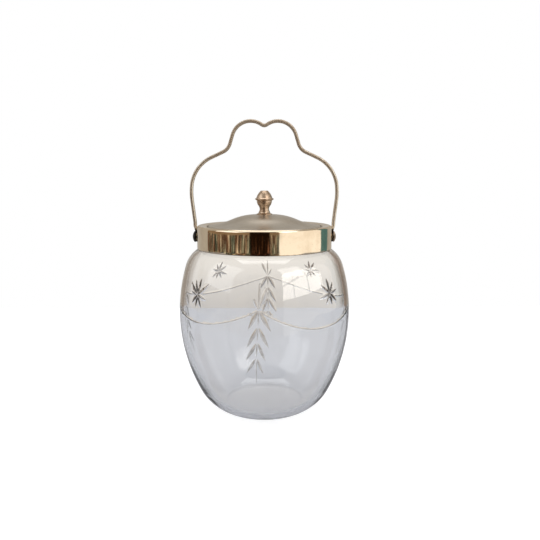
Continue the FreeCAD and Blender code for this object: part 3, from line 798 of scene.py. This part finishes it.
def make_collar():
    """The spun band with a rounded top corner and a rim that falls inwards."""
    foot, top, wide, inner, hem, corner = 134.6, 153.3, 54.8, 53.9, 0.25, 2
    rim, rim_edge, under_rim = (47.7, 152.62), (47.5, 152.4), (52.8, 152.4)
    outline = [(wide - hem, foot)]
    outline += arc((wide - hem, foot), (wide, foot + hem), (wide - hem, foot + hem), 4)
    outline += between((wide, foot + hem), (wide, top - corner), 8)
    outline += arc((wide, top - corner), (wide - corner, top), (wide - corner, top - corner), 12)
    outline += between((wide - corner, top), rim, 5)
    outline += arc(rim, rim_edge, (47.72, 152.4), 4)
    outline += [(47.5, 151.7), under_rim]
    outline += arc(under_rim, (inner, top - corner), (52.8, top - corner), 8)
    outline += between((inner, top - corner), (inner, foot), 4)
    piece = turned("plated_band", outline, "root", BAND_PLATE, "collar_band", ripple=band_ripple)


def lid_ripple(angle, radius, height):
    """Small old dents in the thin lid."""
    fade = min(1.0, max(0.0, (radius - 9) / 10)) * min(1.0, max(0.0, (45.4 - radius) / 5))
    return fade * (0.05 * math.sin(3 * angle + 0.8) + 0.05 * math.sin(7 * angle + radius * 0.2))


def make_lid():
    """The spun lid: land, dome, hollow flare, turned-down edge and an underside that follows."""
    bore, land, bend, edge = (2.15, 161.8), (7.0, 161.8), (27.0, 157.6), (45.1, 152.9)
    turn_down, edge_foot, under_foot = (46.0, 151.7), (46.0, 150.6), (45.2, 150.6)
    under_edge, under_bend, under_land = (45.2, 152.1), (27.0, 156.8), (7.0, 161.0)
    bend_centre, under_centre = flat_centre(land, bend), flat_centre(under_land, under_bend)
    outline = [bore] + between(bore, land, 3)
    outline += arc(land, bend, bend_centre, 16)
    outline += arc(bend, edge, following_centre(bend, edge, bend_centre), 16)
    outline += arc(edge, turn_down, level_centre(turn_down, edge), 6)
    outline += between(turn_down, edge_foot, 2)
    outline += [under_foot] + between(under_foot, under_edge, 2)
    outline += arc(under_edge, under_bend,
                   following_centre(under_bend, under_edge, under_centre), 14)
    outline += arc(under_bend, under_land, under_centre, 14)
    outline += between(under_land, (bore[0], under_land[1]), 2)
    piece = turned("spun_lid", outline, "lid", LID_PLATE, "lid_dome", ripple=lid_ripple)


def make_knob():
    """The turned knob: foot, bead, waist, cup, sharp ring and domed cap, above the lid's land."""
    base = 161.8
    foot, bead, waist, bend, cup = (6.35, 0.6), (4.4, 2.7), (3.8, 4.2), (4.85, 7.2), (6.15, 11.2)
    cap, crown = (6.33, 13.9), (3.1, 18.9)
    bend_centre = level_centre(waist, bend)
    outline = [(0.0, 8.0), (2.15, 8.0), (2.15, 0.0), (6.35, 0.0), foot]
    outline += arc(foot, bead, level_centre(bead, foot), 10)
    outline += [(4.4, 2.92), (3.96, 3.14), waist]
    outline += arc(waist, bend, bend_centre, 10)
    outline += arc(bend, cup, following_centre(bend, cup, bend_centre), 12)
    outline += [(7.5, 12.18), (7.62, 12.34), (7.65, 12.5), (7.6, 12.7), (7.45, 12.84), (6.5, 13.4)]
    cap_side = (cap[0] + 0.5, cap[1] + 0.17)
    outline += [cap] + arc(cap, crown, following_centre(cap, crown, cap_side), 18)
    outline += [(2.8, 19.2), (0.0, 19.2)]
    outline = [(radius, base + height) for radius, height in outline]
    piece = turned("turned_knob", outline, "lid", KNOB_PLATE, "finial_knob", crease=38)


def bail_run():
    """Centre line of the right half of the bail, from the top of its ear to the dip of the grip."""
    corners = [(56.45, 152.6), (56.45, 155.4), (59.1, 178.1), (57.5, 200.4), (28.8, 213.6),
               (19.3, 244.6), (0.0, 231.5), (-19.3, 244.6)]
    rounds = [16.0, 50.0, 27.9, 10.4, 15.2, 3.6]
    corners = [np.array(corner) for corner in corners]
    run = [corners[0]]
    for index, radius in enumerate(rounds, start=1):
        before = corners[index - 1] - corners[index]
        after = corners[index + 1] - corners[index]
        before, after = before / np.linalg.norm(before), after / np.linalg.norm(after)
        half_angle = math.acos(np.clip(before @ after, -1, 1)) / 2
        enter = corners[index] + before * radius / math.tan(half_angle)
        leave = corners[index] + after * radius / math.tan(half_angle)
        middle = (before + after) / np.linalg.norm(before + after)
        centre = corners[index] + middle * radius / math.sin(half_angle)
        if index == len(rounds):
            leave = centre - middle * radius
        steps = max(2, int(np.linalg.norm(enter - run[-1]) / 1.5))
        run += [np.array(spot) for spot in between(run[-1], enter, steps)]
        turn = abs(math.pi - 2 * half_angle) * (0.5 if index == len(rounds) else 1.0)
        steps = max(10, int(turn * radius / 0.5))
        run += [np.array(spot) for spot in arc(enter, leave, centre, steps)]
    return run


def rounded_section(width, depth, corner):
    """Points around a rounded rectangle, as (across, along) from its centre."""
    spots, steps = [], 7
    for turn, (x, y) in enumerate(((1, 1), (-1, 1), (-1, -1), (1, -1))):
        for step in range(steps):
            angle = math.radians(90 * turn + 90 * step / (steps - 1))
            spots.append((x * (width / 2 - corner) + corner * math.cos(angle),
                          y * (depth / 2 - corner) + corner * math.sin(angle)))
    return spots


PIVOT_HEIGHT, EAR_MIDDLE, EAR_STEPS = 143.8, 55.75, 64


def ear_sections(tongue, strip):
    """Sections from inside the right ear up through the taper to nearly the full strip."""
    sections = [[(EAR_MIDDLE + across, along, height) for across, along in tongue]
                for height in (145.4, 146.5, 147.6, 148.6)]
    for share in (0.15, 0.3, 0.45, 0.6, 0.75, 0.9):
        blend = [np.add(np.multiply(thin, 1 - share), np.multiply(full, share))
                 for thin, full in zip(tongue, strip)]
        sections.append([(EAR_MIDDLE + 0.7 * share + across, along, 148.6 + 4 * share)
                         for across, along in blend])
    return sections


def make_bail():
    """The bent strip swept from ear to ear, and the two turned ears with their bores."""
    tongue, strip = rounded_section(1.3, 5.6, 0.45), rounded_section(2.7, 4.2, 1.15)
    right_ear = ear_sections(tongue, strip)
    run = bail_run()
    whole = run + [spot * (-1, 1) for spot in reversed(run[:-1])]
    sections = list(right_ear)
    for index, spot in enumerate(whole):
        ahead = whole[min(index + 1, len(whole) - 1)] - whole[max(index - 1, 0)]
        ahead = ahead / np.linalg.norm(ahead)
        if index in (0, len(whole) - 1):
            ahead = np.array((0.0, 1.0 if index == 0 else -1.0))
        sections.append([(spot[0] + across * ahead[1], along, spot[1] - across * ahead[0])
                         for across, along in strip])
    sections += [[(-x, y, z) for x, y, z in section] for section in reversed(right_ear)]
    points = [point for section in sections for point in section]
    around = len(tongue)
    faces = [tuple(range(around)), tuple(range(len(points) - around, len(points)))]
    faces += ring_faces([list(range(row * around, (row + 1) * around))
                         for row in range(len(sections))], False)
    for side in (-1, 1):
        rings = []
        for x, radius in ((55.1, 1.68), (55.1, 3.95), (55.18, 4.12), (55.35, 4.2), (56.15, 4.2),
                          (56.32, 4.12), (56.4, 3.95), (56.4, 1.68)):
            rings.append(list(range(len(points), len(points) + EAR_STEPS)))
            for step in range(EAR_STEPS):
                angle = 2 * math.pi * step / EAR_STEPS
                points.append((side * x, radius * math.sin(angle),
                               PIVOT_HEIGHT + radius * math.cos(angle)))
        faces += ring_faces(rings, True)
    piece = link_mesh("bent_bail", points, faces, "bail", BAIL_PLATE, "bail_handle", crease=35)


def finish_cad_nodes():
    """Gives every node of the CAD its finish; washers, nuts and the stud are plain brass."""
    finishes = {
        "plaster_ring": SET_PLASTER, "collar_seat": SEAT_PLATE, "lid_bezel": SEAT_PLATE,
        # The left pivot head is painted near black as shade; the right one keeps the knob's plate.
        "finial_knob": KNOB_PLATE, "bail_handle": BAIL_PLATE, "pivot_screw_left": PAINTED_SHADE_BLACK,
        "pivot_screw_right": KNOB_PLATE, "glass_jar": CLEAR_GLASS, "collar_band": BAND_PLATE,
        "lid_dome": LID_PLATE,
    }
    for name, node in NODES.items():
        node.data.materials.clear()
        node.data.materials.append(finishes.get(name, FIXING_BRASS))


# -------- stage and light

def seen_share(tree, camera, glossy, clear, other):
    """A strength for each kind of ray that meets the backdrop."""
    path = add(tree, "ShaderNodeLightPath").outputs
    value = scaled(tree, path["Is Camera Ray"], camera - other, other)
    value = scaled(tree, path["Is Glossy Ray"], glossy - other, value)
    return scaled(tree, path["Is Transmission Ray"], clear - other, value)


def make_world():
    """The backdrop: white for the camera, warm and dimmer for everything else."""
    world = bpy.data.worlds.new("studio")
    world.use_nodes = True
    SCENE.world = world
    tree = world.node_tree
    back = tree.nodes["Background"]
    path = add(tree, "ShaderNodeLightPath").outputs
    colour = blend_colour(tree, path["Is Camera Ray"], (1.0, 0.94, 0.85, 1), (1, 1, 1, 1))
    set_inputs(tree, back, Color=colour, Strength=seen_share(tree, 1.0, 0.5, 0.9, 0.55))


def make_sheet(name, corners, material):
    mesh = bpy.data.meshes.new(name)
    mesh.from_pydata(corners, [], [(0, 1, 2, 3)])
    mesh.materials.append(material)
    return linked(name, mesh)


def make_floor():
    """A pale table top: its far edge lies behind the jar, and it keeps the shadow."""
    material, tree, shader = new_material("pale_table")
    set_inputs(tree, shader, Base_Color=(0.42, 0.435, 0.475, 1), Roughness=0.6,
               Specular_IOR_Level=0.2)
    path = add(tree, "ShaderNodeLightPath").outputs
    glow = times(tree, path["Is Camera Ray"], 0.72)
    glow = scaled(tree, path["Is Transmission Ray"], 0.22, glow)
    tone = blend_colour(tree, path["Is Camera Ray"], (0.86, 0.9, 1.0, 1), (1, 1, 1, 1))
    shine = add(tree, "ShaderNodeEmission", Color=tone, Strength=glow).outputs[0]
    both = add(tree, "ShaderNodeAddShader", i0=shader.outputs[0], i1=shine).outputs[0]
    tree.links.new(both, tree.nodes["Material Output"].inputs["Surface"])
    side, near, far = 0.7, -0.27, 0.36
    corners = [(-side, near, 0), (side, near, 0), (side, far, 0), (-side, far, 0)]
    floor = make_sheet("floor", corners, material)
    floor.location.z = -0.0002


def make_card(name, azimuth, distance, width, low, high, shading, see_through=False):
    """An upright card that metal and glass reflect, or that is only seen through the glass.

    The azimuth runs from the front to the right.
    """
    material, tree = new_material(name)[:2]
    tree.nodes.clear()
    parts = axes(tree, object_place(tree))
    colour, strength = shading(tree, parts[0], parts[2])
    shade = add(tree, "ShaderNodeEmission", Color=colour, Strength=strength)
    leave = add(tree, "ShaderNodeOutputMaterial")
    tree.links.new(shade.outputs[0], leave.inputs["Surface"])
    half = width / 2
    corners = [(-half, 0, low), (half, 0, low), (half, 0, high), (-half, 0, high)]
    card = make_sheet(name, corners, material)
    angle = math.radians(azimuth)
    card.location = (distance * math.sin(angle), -distance * math.cos(angle), 0)
    card.rotation_euler.z = angle
    card.visible_camera = False
    card.visible_diffuse = False
    card.visible_glossy = not see_through
    card.visible_transmission = see_through
    card.visible_shadow = False


def card_place(tree, across, height, stretch):
    return add(tree, "ShaderNodeCombineXYZ", X=across, Y=0.0,
               Z=times(tree, height, stretch)).outputs[0]


def plain_card(colour, strength):
    return lambda tree, across, height: (colour, strength)


def dark_card(tree, across, height):
    """A dark brown doorway with a few reddish lights low down."""
    place = card_place(tree, across, height, 0.8)
    lights = ramp(tree, noise(tree, place, 17.0, 2.0, 0.6), 0.56, 0.7)
    low = ramp(tree, height, 0.03, -0.01)
    lights = times(tree, lights, low)
    return blend_colour(tree, lights, (0.012, 0.005, 0.002, 1), (0.34, 0.15, 0.08, 1)), 1.0


def streaked_card(size, low, share):
    """A room in upright streaks below a height, and plain brown above it."""
    def shading(tree, across, height):
        place = card_place(tree, across, height, 0.7)
        tone = noise(tree, place, size, 4.0, 0.7)
        tint = noise(tree, place, size * 0.45, 2.0, 0.5)
        hue = blend_colour(tree, ramp(tree, tint, 0.44, 0.58), (0.5, 0.2, 0.1, 1),
                           (0.22, 0.34, 0.26, 1))
        bright = ramp(tree, tone, 0.47, 0.68)
        colour = blend_colour(tree, bright, hue, (1.0, 0.86, 0.62, 1))
        glow = scaled(tree, bright, 0.9 * share, 0.12 * share)
        above = ramp(tree, height, low, low + 0.03)
        colour = blend_colour(tree, above, colour, (0.8, 0.55, 0.34, 1))
        below = times(tree, glow, maths(tree, "SUBTRACT", 1.0, above))
        return colour, maths(tree, "ADD", below, times(tree, above, 0.3 * share))
    return shading


def window_card(plain, clear):
    """A window: plain for metal, and for the sharp glints on glass much brighter, with bars."""
    def shading(tree, across, height):
        sharp = add(tree, "ShaderNodeLightPath").outputs["Is Singular Ray"]
        opening = times(tree, ramp(tree, height, 0.24, 0.26), ramp(tree, height, 1.02, 1.0))
        opening = times(tree, opening, ramp(tree, across, 0.42, 0.4))
        sharp = times(tree, sharp, opening)
        bars = None
        for value, spacing, offset in ((across, 0.46, 0.1), (height, 0.52, 0.0)):
            step = maths(tree, "PINGPONG", maths(tree, "ADD", value, offset), spacing / 2)
            bar = ramp(tree, step, 0.012, 0.02)
            bars = bar if bars is None else times(tree, bars, bar)
        glint = scaled(tree, bars, clear, 0.4)
        extra = times(tree, sharp, glint)
        return (1.0, 0.955, 0.89, 1), maths(tree, "ADD", extra, plain)
    return shading


def back_wall(tree, across, height):
    """What is seen through the glass behind the table: cream, greyer low down and brown aside."""
    rise = ramp(tree, height, -0.32, 0.0)
    middle = blend_colour(tree, rise, (0.56, 0.53, 0.5, 1), (0.86, 0.8, 0.72, 1))
    right = ramp(tree, across, -0.7, -0.42)
    left = ramp(tree, across, 0.7, 0.42)
    colour = blend_colour(tree, right, (0.2, 0.12, 0.07, 1), middle)
    colour = blend_colour(tree, left, (0.26, 0.2, 0.15, 1), colour)
    return colour, 1.05


def make_lamp(name, place, aim, size, power, colour=(1, 1, 1)):
    data = bpy.data.lights.new(name, "AREA")
    data.shape = "RECTANGLE"
    data.size, data.size_y = size
    data.energy = power
    data.color = colour
    lamp = linked(name, data)
    lamp.location = place
    lamp.rotation_mode = "QUATERNION"
    lamp.rotation_quaternion = (Vector(aim) - Vector(place)).to_track_quat("-Z", "Y")


def make_stage():
    make_world()
    make_floor()
    # name, azimuth in degrees, distance, width, low and high edge in metres, what it shows
    make_card("window_light", 65.5, 1.15, 2.03, -0.5, 1.1, window_card(1.3, 6.0))
    make_card("front_dark", -7.5, 1.3, 0.77, -0.5, 0.9, dark_card)
    make_card("front_streaks", 16.5, 1.36, 0.36, -0.5, 0.9, streaked_card(26.0, 0.03, 1.1))
    make_card("shelf_streaks", -65.0, 1.3, 2.34, -0.5, 0.62, streaked_card(11.0, 0.022, 1.25))
    make_card("teal_side", 118.0, 1.2, 0.5, -0.5, 0.8, plain_card((0.14, 0.3, 0.31, 1), 0.75))
    make_card("back_wall", 180.0, 1.5, 5.0, -0.9, 0.9, back_wall, see_through=True)
    # name, place, what it is aimed at, size in metres, watts, colour
    make_lamp("key", (0.75, -0.75, 0.95), (0, 0, 0.1), (0.7, 0.7), 3.6, (1.0, 0.97, 0.93))
    make_lamp("fill", (-0.9, -0.4, 0.7), (0, 0, 0.12), (0.9, 0.9), 3.0, (0.95, 0.97, 1.0))
    make_lamp("top", (0.0, 0.2, 1.3), (0, 0, 0.1), (1.0, 1.0), 6.0)


SCENE.cycles.max_bounces = LIGHT_BOUNCES
SCENE.cycles.transmission_bounces = LIGHT_BOUNCES
SCENE.view_settings.view_transform = "Standard"
make_camera()
finish_cad_nodes()
make_glass()
make_collar()
make_lid()
make_knob()
make_bail()
make_stage()
